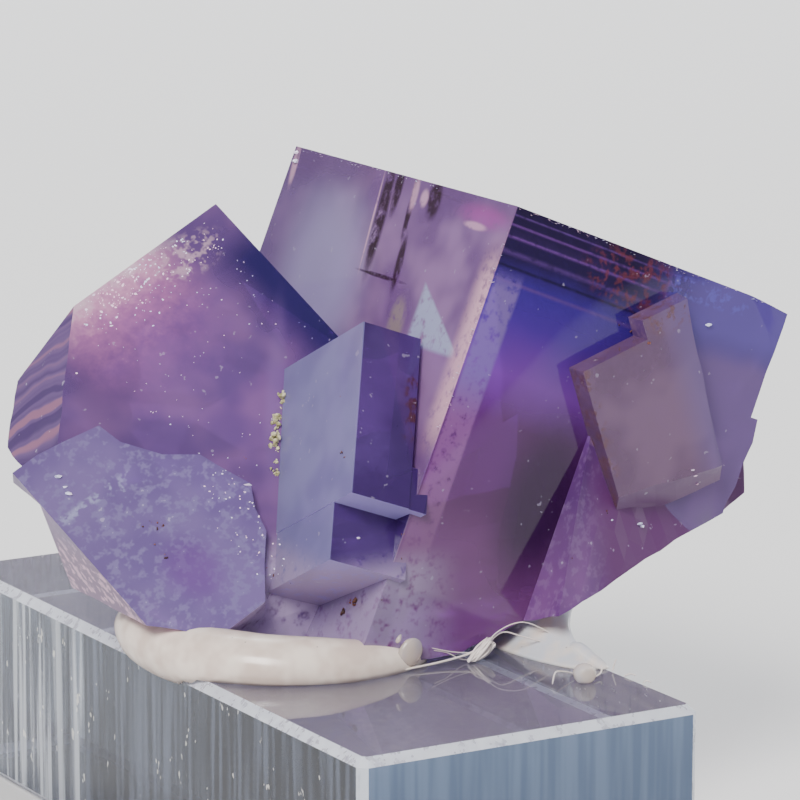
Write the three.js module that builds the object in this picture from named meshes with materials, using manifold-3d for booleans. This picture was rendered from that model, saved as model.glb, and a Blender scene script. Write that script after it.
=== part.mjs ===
// A cluster of violet fluorite cubes, grown into one another and glued to a small clear acrylic block.
// Millimetres, +Z up. The origin is the middle of the block's underside and the block's length is along Y.
// The broad crystal faces look towards -Y and -X, and the cluster stands across the block.

import * as THREE from 'three';
import { mergeVertices } from 'three/addons/utils/BufferGeometryUtils.js';
import Module from 'manifold-3d';

const wasm = await Module();
wasm.setup();

// The display block
const BLOCK_WIDTH = 22;
const BLOCK_LENGTH = 51;
const BLOCK_HEIGHT = 12.7;
const BLOCK_CHAMFER = 0.5;

// The clearance between the glue, the crystals and the block
const GAP = 0.3;

// The crystals. A corner is the place of the crystal's own origin, and the turn is in degrees about
// Z, then Y, then X. The cubes below are given in these turned frames.
const LEFT_CUBE = { corner: [-0.71, 9.78, 37.12], turn: [-64.67, 38.56, -140.46] };
const LEFT_CUBE_SIZE = [22.2, 20.7, 15];
const BIG_CUBE = { corner: [7.92, -10.68, 39.16], turn: [0.62, 22.3, 0.4] };
const BIG_CUBE_SIZE = [23, 25.6, 30];
const PLATE = { corner: [11.5, -12.1, 29.66], turn: [0.6, -18.15, -0.3] };
const PLATE_SIZE = [8.3, 4.5, 11];
const PRISM = { corner: [0.46, -6.01, 32.38], turn: [-5.07, 20, -28.88] };
const PRISM_SIZE = [5.1, 13, 10.6];

// The grain of the broken faces: the side of one facet, and the seed of their random heights
const FRACTURE_STEP = 1.35;
const FRACTURE_SEED = 7;

const WORLD = { corner: [0, 0, 0], turn: [0, 0, 0] };

// Frames and solids

function frameMatrix({ corner, turn }) {
  const [aboutZ, aboutY, aboutX] = turn.map(THREE.MathUtils.degToRad);
  const matrix = new THREE.Matrix4().makeRotationFromEuler(new THREE.Euler(aboutX, aboutY, aboutZ, 'ZYX'));
  return matrix.setPosition(...corner);
}

function solidFrom(geometry) {
  const plain = geometry.clone();
  plain.deleteAttribute('normal');
  plain.deleteAttribute('uv');
  const welded = mergeVertices(plain, 1e-5);
  const mesh = new wasm.Mesh({
    numProp: 3,
    vertProperties: new Float32Array(welded.attributes.position.array),
    triVerts: new Uint32Array(welded.index.array),
  });
  return new wasm.Manifold(mesh);
}

function namedMesh(name, solid, material) {
  const { vertProperties, triVerts } = solid.getMesh();
  const geometry = new THREE.BufferGeometry();
  geometry.setAttribute('position', new THREE.BufferAttribute(vertProperties, 3));
  geometry.setIndex(new THREE.BufferAttribute(triVerts, 1));
  geometry.computeVertexNormals();
  const mesh = new THREE.Mesh(geometry, material);
  mesh.name = name;
  return mesh;
}

// A box between two opposite corners, both given along the frame's own axes
function boxIn(frame, from, to) {
  const size = from.map((low, axis) => Math.abs(to[axis] - low));
  const middle = from.map((low, axis) => (low + to[axis]) / 2);
  const geometry = new THREE.BoxGeometry(...size);
  geometry.translate(...middle);
  geometry.applyMatrix4(frameMatrix(frame));
  return solidFrom(geometry);
}

// Broken faces

// A repeatable random number from 0 to 1 for a cell of a grid
function cellRandom(column, row, seed) {
  const mixed = Math.sin(column * 127.1 + row * 311.7 + seed * 74.7) * 43758.5453;
  return mixed - Math.floor(mixed);
}

// Smooth hills between the random heights of a coarse grid
function hills(x, y, spacing, seed) {
  const column = Math.floor(x / spacing);
  const row = Math.floor(y / spacing);
  const across = THREE.MathUtils.smoothstep(x / spacing - column, 0, 1);
  const along = THREE.MathUtils.smoothstep(y / spacing - row, 0, 1);
  const near = THREE.MathUtils.lerp(cellRandom(column, row, seed), cellRandom(column + 1, row, seed), across);
  const far = THREE.MathUtils.lerp(cellRandom(column, row + 1, seed), cellRandom(column + 1, row + 1, seed), across);
  return THREE.MathUtils.lerp(near, far, along);
}

// The piece that a break takes away. Its rough side lies through "at" and the crystal left behind faces
// "facing", both along the frame's own axes. "size" is the breadth and length of the break.
function breakOff({ frame, at, facing, size, roughness, seed, step = FRACTURE_STEP, thickness = 16 }) {
  const [breadth, length] = size;
  const columns = Math.max(1, Math.round(breadth / step));
  const rows = Math.max(1, Math.round(length / step));
  const geometry = new THREE.BoxGeometry(breadth, length, thickness, columns, rows, 1);
  geometry.translate(0, 0, thickness / 2);
  const places = geometry.attributes.position;
  for (let index = 0; index < places.count; index += 1) {
    if (places.getZ(index) > thickness / 2) {
      continue;
    }
    const x = places.getX(index);
    const y = places.getY(index);
    const broad = hills(x + 100, y + 100, step * 4, seed);
    const fine = cellRandom(Math.round(x / step * 2), Math.round(y / step * 2), seed + FRACTURE_SEED);
    places.setZ(index, -roughness * (0.65 * broad + 0.35 * fine));
  }
  const outward = new THREE.Vector3(...facing).normalize();
  const turned = new THREE.Quaternion().setFromUnitVectors(new THREE.Vector3(0, 0, 1), outward);
  geometry.applyQuaternion(turned);
  geometry.translate(...at);
  geometry.applyMatrix4(frameMatrix(frame));
  return solidFrom(geometry);
}

function withBreaks(solid, breaks) {
  return breaks.reduce((left, one) => left.subtract(breakOff(one)), solid);
}

// The left cube: its front face leans back, its left corner is cleaved off along an octahedral plane,
// and a ragged pale patch stands a little proud of its lower left
function leftCube() {
  const foot = boxIn(LEFT_CUBE, [21, 5, 1], [26, 17, 9]);
  const body = boxIn(LEFT_CUBE, [0, 0, 0], LEFT_CUBE_SIZE).add(foot);
  const broken = withBreaks(body, [
    { frame: LEFT_CUBE, at: [3.1, 14.2, 0], facing: [-1, 1, -1], size: [26, 30], roughness: 0.25, seed: 1 },
    { frame: LEFT_CUBE, at: [0.2, 15.9, 5.3], facing: [-1, 1, 1], size: [26, 24], roughness: 0.9, seed: 2 },
    { frame: LEFT_CUBE, at: [24, 11, 2.6], facing: [0.7, 0.1, -0.7], size: [18, 18], roughness: 0.7, seed: 6 },
    { frame: LEFT_CUBE, at: [12, 20.7, 8], facing: [-0.35, 0.6, 1], size: [22, 20], roughness: 0.8, seed: 4 },
    { frame: LEFT_CUBE, at: [8, 8, 14.4], facing: [0.1, 0.1, 1], size: [34, 34], roughness: 1.1, seed: 5 },
  ]);
  return withBreaks(broken.add(palePatch()), [
    { frame: LEFT_CUBE, at: [4.6, 19.9, 2.6], facing: [0.5, 1, 1], size: [10.6, 16], roughness: 0.4, seed: 3 },
  ]);
}

// The patch's ragged outline lies on the left cube's front face, along the cube's own two axes
function palePatch() {
  const outline = [
    [6.6, 20.7], [6.6, 18.9], [6.9, 17.2], [7.4, 14.9], [9.0, 14.6], [11.2, 13.2], [12.6, 11.5], [14.2, 11.0],
    [15.9, 10.4], [17.3, 11.2], [18.8, 11.6], [20.2, 12.9], [22.2, 14.5], [22.2, 20.7],
  ];
  const proud = 0.9;
  const sunk = 1.8;
  const shape = new THREE.Shape(outline.map(([across, down]) => new THREE.Vector2(across, down)));
  const geometry = new THREE.ExtrudeGeometry(shape, { depth: proud + sunk, bevelEnabled: false });
  geometry.translate(0, 0, -proud);
  geometry.applyMatrix4(frameMatrix(LEFT_CUBE));
  return solidFrom(geometry);
}

// The big cube at the back, broken on the right and below, with the broken mass that stands out of its
// lower right
function bigCube() {
  const [right, back, down] = BIG_CUBE_SIZE;
  const body = withBreaks(boxIn(BIG_CUBE, [0, 0, 0], [right, back, -down]), [
    { frame: BIG_CUBE, at: [21.8, 0, -4], facing: [1, 0.3, 0.05], size: [40, 50], roughness: 1.1, seed: 11 },
    { frame: BIG_CUBE, at: [21, 0, -3.3], facing: [1, 0.08, 0], size: [7, 60], roughness: 0.3, seed: 16 },
    { frame: BIG_CUBE, at: [18, 10, -0.1], facing: [0.09, 0.02, 1], size: [7, 34], roughness: 0.25, seed: 12 },
    { frame: BIG_CUBE, at: [12, 25, -20], facing: [0.3, 1, -0.7], size: [40, 34], roughness: 1.2, seed: 13 },
  ]);
  const mass = withBreaks(boxIn(BIG_CUBE, [10, -4, -26], [24, 4, -8.5]), [
    { frame: BIG_CUBE, at: [15, -1.9, -18], facing: [0.12, -1, 0.3], size: [26, 26], roughness: 0.5, seed: 14 },
    { frame: BIG_CUBE, at: [23.3, -1, -11], facing: [1, 0, 0.2], size: [16, 16], roughness: 0.5, seed: 15 },
  ]);
  return body.add(mass);
}

// The thin grey plate on the big cube's face, with a step in its upper edge
function plate() {
  const [across, thick, down] = PLATE_SIZE;
  const main = boxIn(PLATE, [0, 0, -0.35], [across, thick, -down]);
  const upper = boxIn(PLATE, [4.7, 0, 0.85], [across, thick, -down]);
  return withBreaks(main.add(upper), [
    { frame: PLATE, at: [8, 1, -5], facing: [1, -0.25, -0.07], size: [16, 16], roughness: 0.3, seed: 21 },
    { frame: PLATE, at: [4, 0, -9.6], facing: [-0.1, -0.8, -0.6], size: [16, 16], roughness: 0.4, seed: 22 },
  ]);
}

// The small prism in the middle, with its lower end set back in a step
function prism() {
  const [across, back, down] = PRISM_SIZE;
  const main = boxIn(PRISM, [0, 0, 0], [across - 1.2, back, -down]);
  const ledge = boxIn(PRISM, [1.6, 0.1, -down + 2.6], [across, back, -down]);
  const lower = boxIn(PRISM, [0.05, 1.97, -down + 0.5], [across, back, -down - 3.5]);
  return main.add(ledge).add(lower);
}

// The whole cluster, with the rough underside that the glue holds
function cluster() {
  const grown = leftCube().add(bigCube()).add(plate()).add(prism());
  const lowest = BLOCK_HEIGHT + GAP;
  return withBreaks(grown, [
    { frame: WORLD, at: [4.3, 0, lowest], facing: [0, 0, -1], size: [52, 66], roughness: 0.35, seed: 31 },
    { frame: WORLD, at: [-6, 0, lowest + 1], facing: [-0.2, 0, -1], size: [40, 66], roughness: 0.35, seed: 33 },
    { frame: WORLD, at: [15, -13.2, 17.1], facing: [0.328, -0.22, -0.945], size: [40, 66], roughness: 0.5, seed: 32 },
  ]);
}

// The clear block: an outline with cut corners, and the same chamfer on its upper and lower edges
function block() {
  const halfWidth = BLOCK_WIDTH / 2;
  const halfLength = BLOCK_LENGTH / 2;
  const shape = new THREE.Shape();
  shape.moveTo(-halfWidth + BLOCK_CHAMFER, -halfLength);
  shape.lineTo(halfWidth - BLOCK_CHAMFER, -halfLength);
  shape.lineTo(halfWidth, -halfLength + BLOCK_CHAMFER);
  shape.lineTo(halfWidth, halfLength - BLOCK_CHAMFER);
  shape.lineTo(halfWidth - BLOCK_CHAMFER, halfLength);
  shape.lineTo(-halfWidth + BLOCK_CHAMFER, halfLength);
  shape.lineTo(-halfWidth, halfLength - BLOCK_CHAMFER);
  shape.lineTo(-halfWidth, -halfLength + BLOCK_CHAMFER);
  shape.closePath();
  const geometry = new THREE.ExtrudeGeometry(shape, {
    depth: BLOCK_HEIGHT - 2 * BLOCK_CHAMFER,
    bevelThickness: BLOCK_CHAMFER,
    bevelSize: BLOCK_CHAMFER,
    bevelOffset: -BLOCK_CHAMFER,
    bevelSegments: 1,
  });
  geometry.translate(0, 0, BLOCK_CHAMFER);
  return solidFrom(geometry);
}

// The glue

// A soft ball drawn out along a line of stations, each with its place, half width and half height
function drawnOut(stations) {
  const line = new THREE.CatmullRomCurve3(stations.map(({ place }) => new THREE.Vector3(...place)));
  const stretch = 0.5;
  const geometry = new THREE.SphereGeometry(1, 18, 28);
  const places = geometry.attributes.position;
  const up = new THREE.Vector3(0, 0, 1);
  for (let index = 0; index < places.count; index += 1) {
    const along = (1 + places.getY(index)) * stretch;
    const point = line.getPointAt(along);
    const side = new THREE.Vector3().crossVectors(line.getTangentAt(along), up).normalize();
    const station = Math.min(stations.length - 2, Math.floor(along * (stations.length - 1)));
    const share = along * (stations.length - 1) - station;
    const width = THREE.MathUtils.lerp(stations[station].width, stations[station + 1].width, share);
    const height = THREE.MathUtils.lerp(stations[station].height, stations[station + 1].height, share);
    const ring = Math.hypot(places.getX(index), places.getZ(index));
    const blunt = ring > 0 ? Math.sqrt(ring) / ring : 0;
    point.addScaledVector(side, places.getX(index) * blunt * width);
    point.addScaledVector(up, places.getZ(index) * blunt * height);
    places.setXYZ(index, point.x, point.y, point.z);
  }
  return solidFrom(geometry);
}

// What the glue lies on, grown by the clearance: the crystals and the block moved a little every way
function clearedOf(solid, neighbours) {
  const shifts = [[0, 0, -1], [-1, 0, 0], [1, 0, 0], [0, -1, 0], [0, 1, 0], [0, 0, 1]];
  let left = solid;
  for (const neighbour of neighbours) {
    for (const [x, y, z] of shifts) {
      left = left.subtract(neighbour.translate([x * GAP, y * GAP, z * GAP]));
    }
  }
  return left;
}

function glueBead() {
  return drawnOut([
    { place: [-10.6, 3.4, 13.4], width: 1.3, height: 1.8 },
    { place: [-10.6, -1.2, 13.4], width: 1.9, height: 2.2 },
    { place: [-9.5, -5.6, 13.3], width: 2.1, height: 2.3 },
    { place: [-7.2, -8.4, 13.3], width: 2.1, height: 2.2 },
    { place: [-3.8, -9.7, 13.2], width: 2.0, height: 1.9 },
    { place: [-0.2, -9.3, 13.2], width: 1.6, height: 1.6 },
    { place: [3.0, -7.6, 13.5], width: 1.0, height: 1.5 },
  ]);
}

// A foot of glue that flares out over the block's edge: short across the block and long along it, with a
// drawn-out toe
function glueFillet() {
  const neck = 2;
  const flare = 4.2;
  const height = 2.6;
  const rings = 9;
  const lengthwise = 1.2;
  const towardsMiddle = 0.37;
  const towardsEdge = 0.14;
  const profile = [new THREE.Vector2(0, 0)];
  for (let ring = rings; ring >= 0; ring -= 1) {
    const down = ring / rings;
    profile.push(new THREE.Vector2(neck + flare * down ** 3, height * (1 - down)));
  }
  profile.push(new THREE.Vector2(0, height));
  const geometry = new THREE.LatheGeometry(profile, 28);
  geometry.rotateX(Math.PI / 2);
  const places = geometry.attributes.position;
  for (let index = 0; index < places.count; index += 1) {
    const across = places.getX(index);
    places.setX(index, across * (across < 0 ? towardsMiddle : towardsEdge));
    places.setY(index, places.getY(index) * lengthwise);
  }
  geometry.translate(10, -8.6, BLOCK_HEIGHT);
  const toe = drawnOut([
    { place: [9.9, -12.2, 12.9], width: 0.9, height: 1.0 },
    { place: [10.1, -14.3, 12.8], width: 0.8, height: 0.8 },
    { place: [10.3, -16.3, 12.7], width: 0.5, height: 0.5 },
  ]);
  return solidFrom(geometry).add(toe);
}

function glueDrop() {
  return drawnOut([
    { place: [7.9, -18.8, 13.2], width: 0.5, height: 0.5 },
    { place: [7.95, -18.2, 13.3], width: 0.62, height: 0.62 },
    { place: [8.0, -17.6, 13.2], width: 0.5, height: 0.5 },
  ]);
}

// The materials
const fluorite = new THREE.MeshStandardMaterial({ color: 0x7d68a8, roughness: 0.15, metalness: 0 });
const acrylic = new THREE.MeshStandardMaterial({ color: 0xc9d4de, roughness: 0.2, metalness: 0 });
const glue = new THREE.MeshStandardMaterial({ color: 0xe6dad6, roughness: 0.35, metalness: 0 });

const crystals = cluster();
const base = block();
const neighbours = [crystals, base];

const group = new THREE.Group();
group.add(
  namedMesh('acrylic_block', base, acrylic),
  namedMesh('fluorite_cluster', crystals, fluorite),
  namedMesh('glue_bead', clearedOf(glueBead(), neighbours), glue),
  namedMesh('glue_fillet', clearedOf(glueFillet(), neighbours), glue),
  namedMesh('glue_drop', clearedOf(glueDrop(), neighbours), glue),
);

export default group;
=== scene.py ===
"""A cluster of violet fluorite cubes, fixed with cream glue to a clear acrylic display block.

Run it in Blender: it registers the add-on, builds the pieces one after another and sets the stage.
Lengths in the tables below are in millimetres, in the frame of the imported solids.
"""
import math
import random

import bmesh
import bpy
from mathutils import Euler, Matrix, Vector, noise


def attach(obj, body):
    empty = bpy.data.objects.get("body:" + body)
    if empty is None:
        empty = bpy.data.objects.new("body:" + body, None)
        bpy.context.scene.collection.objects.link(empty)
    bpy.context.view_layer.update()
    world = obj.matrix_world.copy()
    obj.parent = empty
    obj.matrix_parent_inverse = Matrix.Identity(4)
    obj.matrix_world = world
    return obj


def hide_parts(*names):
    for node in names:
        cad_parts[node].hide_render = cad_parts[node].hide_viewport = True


bl_info = {
    "name": "Fluorite Cluster",
    "version": (1, 0, 0),
    "blender": (4, 5, 0),
    "location": "3D View > Sidebar > Fluorite",
    "description": "Dresses a violet fluorite cluster on its display block",
    "category": "Object",
}

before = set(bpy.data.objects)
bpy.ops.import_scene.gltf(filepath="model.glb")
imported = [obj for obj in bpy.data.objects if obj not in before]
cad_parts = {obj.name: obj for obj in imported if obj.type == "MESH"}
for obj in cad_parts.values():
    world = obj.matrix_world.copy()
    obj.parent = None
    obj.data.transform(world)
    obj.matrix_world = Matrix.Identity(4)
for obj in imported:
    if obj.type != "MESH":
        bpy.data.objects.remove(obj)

MM = 0.001

# Each crystal's own corner, and its turn in degrees about X, Y and Z
LEFT_CUBE = ((-0.71, 9.78, 37.12), (-140.46, 38.56, -64.67))
BIG_CUBE = ((7.92, -10.68, 39.16), (0.4, 22.3, 0.62))
PLATE = ((11.5, -12.1, 29.66), (-0.3, -18.15, 0.6))
PRISM = ((0.46, -6.01, 32.38), (-28.88, 20.0, -5.07))

BLOCK_TOP = 12.7
BLOCK_HALF_WIDTH = 11.0

# How far the glue lies above the block's top
GLUE_LIFT = 0.02

# A half length that takes a mark right through a crystal
THROUGH = 9

# The places of a Mix node's two colour inputs and of its colour output
MIX_FIRST, MIX_SECOND, MIX_OUT = 6, 7, 2


def matrix_of(crystal):
    """The crystal's frame as a matrix, in millimetres."""
    corner, turn = crystal
    turned = Euler([math.radians(t) for t in turn], "XYZ").to_matrix().to_4x4()
    return Matrix.Translation(corner) @ turned


def seen(red, green, blue):
    """A colour as it is seen on a screen, 0 to 255, turned into the light it stands for."""
    light = []
    for value in (red, green, blue):
        share = value / 255
        light.append(share / 12.92 if share <= 0.04045 else ((share + 0.055) / 1.055) ** 2.4)
    return (*light, 1.0)


class Look:
    """One material, built a node at a time."""

    def __init__(self, name):
        self.material = bpy.data.materials.new(name)
        self.material.use_nodes = True
        self.tree = self.material.node_tree
        self.shader = self.tree.nodes["Principled BSDF"]
        self.object_point = self.add("ShaderNodeTexCoord").outputs["Object"]

    def add(self, kind, **settings):
        node = self.tree.nodes.new(kind)
        for key, value in settings.items():
            setattr(node, key, value)
        return node

    def put(self, socket, value):
        if isinstance(value, bpy.types.NodeSocket):
            self.tree.links.new(value, socket)
        elif value is not None:
            socket.default_value = value

    def sum_of(self, operation, first, second=None, third=None):
        node = self.add("ShaderNodeMath", operation=operation)
        for socket, value in zip(node.inputs, (first, second, third)):
            self.put(socket, value)
        return node.outputs[0]

    def length_of(self, vector):
        node = self.add("ShaderNodeVectorMath", operation="LENGTH")
        self.put(node.inputs[0], vector)
        return node.outputs["Value"]

    def times(self, *values):
        made = values[0]
        for value in values[1:]:
            made = self.sum_of("MULTIPLY", made, value)
        return made

    def most(self, *values):
        made = values[0]
        for value in values[1:]:
            made = self.sum_of("MAXIMUM", made, value)
        return made

    def rise(self, value, low, high):
        """0 below low, 1 above high, and smooth between."""
        node = self.add("ShaderNodeMapRange", interpolation_type="SMOOTHSTEP")
        for socket, given in zip(node.inputs[:3], (value, low, high)):
            self.put(socket, given)
        return node.outputs["Result"]

    def fall(self, value, low, high):
        """1 below low, 0 above high, and smooth between."""
        node = self.add("ShaderNodeMapRange", interpolation_type="SMOOTHSTEP")
        for socket, given in zip(node.inputs[:5], (value, low, high, 1.0, 0.0)):
            self.put(socket, given)
        return node.outputs["Result"]

    def between(self, value, low, high, soft):
        """1 between low and high, and 0 outside, with soft ends."""
        away = self.sum_of("ABSOLUTE", self.sum_of("SUBTRACT", value, (low + high) / 2))
        half = (high - low) / 2
        return self.fall(away, half - soft, half + soft)

    def spots(self, point, soft, *marks):
        """1 inside rounded spots, each given as its middle and its half lengths, and 0 outside."""
        nearest = None
        for middle, half in marks:
            node = self.add("ShaderNodeVectorMath", operation="MULTIPLY_ADD")
            self.put(node.inputs[0], point)
            node.inputs[1].default_value = [1 / h for h in half]
            node.inputs[2].default_value = [-m / h for m, h in zip(middle, half)]
            away = self.length_of(node.outputs["Vector"])
            nearest = away if nearest is None else self.sum_of("MINIMUM", nearest, away)
        return self.fall(nearest, 1 - soft, 1 + soft)

    def bands(self, value, length, *stops):
        """Colours along a length in millimetres, each as (place, colour, how much)."""
        node = self.add("ShaderNodeValToRGB")
        self.put(node.inputs[0], self.sum_of("DIVIDE", value, length))
        elements = node.color_ramp.elements
        for stop in stops[1:-1]:
            elements.new(stop[0] / length)
        for element, (place, tone, share) in zip(elements, stops):
            element.position = place / length
            element.color = (*tone[:3], share)
        return node.outputs["Alpha"], node.outputs["Color"]

    def mix(self, share, first, second):
        """The first colour, with a share of the second one over it."""
        node = self.add("ShaderNodeMix", data_type="RGBA")
        self.put(node.inputs[0], share)
        self.put(node.inputs[MIX_FIRST], first)
        self.put(node.inputs[MIX_SECOND], second)
        return node.outputs[MIX_OUT]

    def mapped(self, crystal=((0, 0, 0), (0, 0, 0)), stretch=(1, 1, 1)):
        """The place on the piece in millimetres, along the crystal's own axes."""
        node = self.add("ShaderNodeMapping", vector_type="TEXTURE")
        corner, turn = crystal
        self.put(node.inputs["Vector"], self.object_point)
        node.inputs["Location"].default_value = [c * MM for c in corner]
        node.inputs["Rotation"].default_value = [math.radians(t) for t in turn]
        node.inputs["Scale"].default_value = [MM * s for s in stretch]
        return node.outputs["Vector"]

    def turned(self, point, degrees):
        """The place after a turn about its third axis."""
        node = self.add("ShaderNodeVectorRotate", rotation_type="Z_AXIS")
        self.put(node.inputs["Vector"], point)
        node.inputs["Angle"].default_value = math.radians(-degrees)
        return node.outputs["Vector"]

    def parts(self, point):
        node = self.add("ShaderNodeSeparateXYZ")
        self.put(node.inputs[0], point)
        return node.outputs[0], node.outputs[1], node.outputs[2]

    def grain(self, point, scale, detail=3.0, rough=0.55):
        """Soft random clouds."""
        node = self.add("ShaderNodeTexNoise")
        self.put(node.inputs["Vector"], point)
        node.inputs["Scale"].default_value = scale
        node.inputs["Detail"].default_value = detail
        node.inputs["Roughness"].default_value = rough
        return node.outputs["Fac"]

    def stripes(self, value, scale):
        """Uneven stripes along one value."""
        node = self.add("ShaderNodeTexNoise", noise_dimensions="1D")
        self.put(node.inputs["W"], value)
        node.inputs["Scale"].default_value = scale
        node.inputs["Detail"].default_value = 2.0
        return node.outputs["Fac"]

    def cells(self, point, scale):
        """How far the place is from the nearest of many scattered points."""
        node = self.add("ShaderNodeTexVoronoi")
        self.put(node.inputs["Vector"], point)
        node.inputs["Scale"].default_value = scale
        return node.outputs["Distance"]

    def held(self, name):
        """The value that the piece's faces hold under this name."""
        return self.add("ShaderNodeAttribute", attribute_name=name).outputs["Fac"]

    def bump(self, height, strength, distance):
        node = self.add("ShaderNodeBump")
        node.inputs["Strength"].default_value = strength
        node.inputs["Distance"].default_value = distance * MM
        self.put(node.inputs["Height"], height)
        return node.outputs["Normal"]

    def absorb(self, colour, density):
        """Colours the light that goes through the piece."""
        node = self.add("ShaderNodeVolumeAbsorption")
        node.inputs["Color"].default_value = colour
        node.inputs["Density"].default_value = density
        self.put(self.tree.nodes["Material Output"].inputs["Volume"], node.outputs[0])

    def finish(self, **values):
        """Sets the shader's inputs and returns the material."""
        for name, value in values.items():
            self.put(self.shader.inputs[name.replace("_", " ")], value)
        return self.material


# Fluorite

def layered(look, colour, *layers):
    """Colours laid over one another, each as (how much, colour)."""
    for share, tone in layers:
        colour = look.mix(share, colour, tone)
    return colour


# The left cube's colours from its upper left edge inwards, each as (distance, colour, how much)
ROSY_EDGE = (
    (0.0, seen(255, 216, 238), 1.0), (1.0, seen(244, 172, 216), 0.95), (2.6, seen(206, 128, 192), 0.75),
    (5.4, seen(164, 100, 174), 0.45), (9.5, seen(140, 94, 166), 0.0),
)
ROSY_EDGE_LENGTH = 12.0


def left_cube_colour(look, a, b, point, fine):
    """Rosy along its upper left edge, with pale flecks near its corner as painted glints, deep blue-violet along the
    right one.
    """
    inwards = look.sum_of("ADD", a, look.sum_of("MULTIPLY_ADD", fine, -3.4, 1.9))
    share, tone = look.bands(inwards, ROSY_EDGE_LENGTH, *ROSY_EDGE)
    shade = look.spots(point, 0.6, ((5.0, 12.4, 0), (2.6, 2.2, THROUGH)))
    streaks = look.spots(look.turned(point, 42), 0.7, ((12.5, -4.1, 0), (4.8, 0.5, THROUGH)))
    # Pale pink flecks near the corner: painted glints on its cracks
    warm = look.times(look.spots(point, 0.4, ((1.7, 3.4, 0), (1.2, 2.0, THROUGH))), look.sparse)
    return layered(
        look, look.mix(look.mild, seen(110, 80, 142), seen(138, 98, 158)),
        (look.times(shade, 0.5), seen(84, 62, 112)),
        (look.times(share, look.between(b, 4.4, 12.8, 1.8)), tone),
        (look.times(warm, 0.7), seen(236, 198, 222)),
        (look.times(look.fall(b, 0.7, 4.0), look.rise(a, 1.2, 4.4)), seen(40, 28, 96)),
        (look.times(streaks, 0.35), seen(150, 116, 184)),
    )


# How far the pale patch stands out of the left cube
PATCH_PROUD = 0.9


def patch_colour(look, point):
    """Pale and bluish, with a painted highlight along a ridge across its left end."""
    # The ridge is only painted: a pale painted highlight along its crest
    ridge = look.spots(point, 0.5, ((10.9, 18.2, -PATCH_PROUD), (0.28, 2.6, 1)),
                       ((11.4, 16.4, -PATCH_PROUD), (0.8, 0.12, 1)))
    rosy = look.spots(point, 0.6, ((18.0, 16.4, -PATCH_PROUD), (1.9, 1.5, 2)))
    return layered(
        look, look.mix(look.mild, seen(108, 88, 146), seen(122, 102, 158)),
        (look.sparse, seen(128, 114, 166)),
        (look.times(rosy, 0.6), seen(108, 62, 142)),
        (look.times(ridge, look.sparse, 0.5), seen(180, 184, 222)),
    )


# The big cube's zones as they lie below one another, each as (depth below its top, colour, how much)
ZONES = (
    (0.0, seen(34, 18, 60), 1), (2.8, seen(38, 20, 76), 1), (4.4, seen(66, 38, 150), 1),
    (6.4, seen(82, 42, 162), 1), (9.4, seen(130, 66, 176), 1), (12.0, seen(98, 40, 110), 1),
    (16.5, seen(100, 40, 108), 1), (19.5, seen(128, 70, 134), 1), (26.0, seen(136, 84, 142), 1),
)
ZONES_LENGTH = 26.0

# The fine lines along its top, in the same way
FAINT, DARK, ROSY = seen(104, 66, 146), seen(24, 12, 50), seen(122, 70, 158)
LINES = (
    (0.0, DARK, 0.0), (0.40, FAINT, 0.0), (0.48, FAINT, 0.8), (0.58, FAINT, 0.0), (0.95, ROSY, 0.0),
    (1.05, ROSY, 0.8), (1.18, ROSY, 0.0), (1.60, FAINT, 0.1), (1.72, ROSY, 0.9), (1.88, FAINT, 0.0),
    (2.40, FAINT, 0.0), (2.60, FAINT, 0.6), (2.85, FAINT, 0.0), (3.25, DARK, 0.0), (3.40, DARK, 0.9),
    (3.55, DARK, 0.0), (4.10, FAINT, 0.0), (4.25, FAINT, 0.8), (4.42, FAINT, 0.0),
)
LINES_LENGTH = 6.0

# Marks on its left side, each as (middle, half lengths) through the cube, along the side and downwards
CRACKS = (
    ((0, 13.95, 2.6), (THROUGH, 0.58, 3.6)), ((0, 12.85, 0.8), (THROUGH, 0.45, 1.6)),
    ((0, 11.0, 1.8), (THROUGH, 0.28, 1.9)), ((0, 10.6, 5.1), (THROUGH, 0.36, 1.6)),
    ((0, 8.63, 0.9), (THROUGH, 0.7, 1.2)), ((0, 12.2, 6.15), (THROUGH, 2.5, 0.12)),
)
GLINTS = (
    ((0, 10.9, 0.9), (THROUGH, 0.34, 1.0)), ((0, 9.75, 1.0), (THROUGH, 0.4, 0.5)),
    ((0, 3.7, 1.75), (THROUGH, 1.1, 0.22)), ((0, 14.75, 3.2), (THROUGH, 0.09, 2.8)),
    ((0, 25.2, 1.0), (THROUGH, 0.3, 1.4)),
)
CRUST = (((0, 9.3, 8.6), (THROUGH, 0.8, 1.5)), ((0, 10.9, 10.4), (THROUGH, 0.8, 1.0)))

# Rusty and blue flecks on its front, under the top edge
FLECKS = (((9.4, 0, -1.6), (3.4, THROUGH, 1.7)), ((14.6, 0, -0.9), (3.6, THROUGH, 0.6)))


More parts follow.
